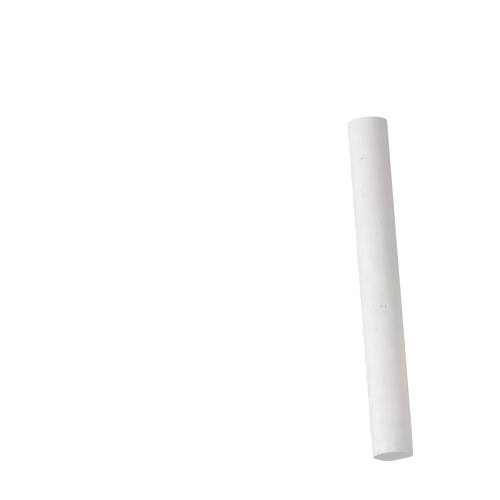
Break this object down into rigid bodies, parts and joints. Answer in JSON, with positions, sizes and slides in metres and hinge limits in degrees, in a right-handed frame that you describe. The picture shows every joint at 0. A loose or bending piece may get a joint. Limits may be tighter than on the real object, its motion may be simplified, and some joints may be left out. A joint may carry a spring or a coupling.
{
  "type": "stick of board chalk",
  "caption": "Straight round stick of white cast chalk with flat ends, one slightly rounded rim, one rubbed and chipped rim and small air pits.",
  "frame": {"origin": "middle of the base end face, the one with the rounder, whole rim, on which the stick stands", "axes": "+Z along the stick's axis, from the base end to the rubbed and chipped top end; -Y faces the side with most of the air pits"},
  "size_m": [0.0094, 0.0094, 0.08],
  "materials": {
    "cast_chalk": "matte"
  },
  "bodies": {
    "root": {"chalk_stick": "cast_chalk"}
  },
  "joints": []
}
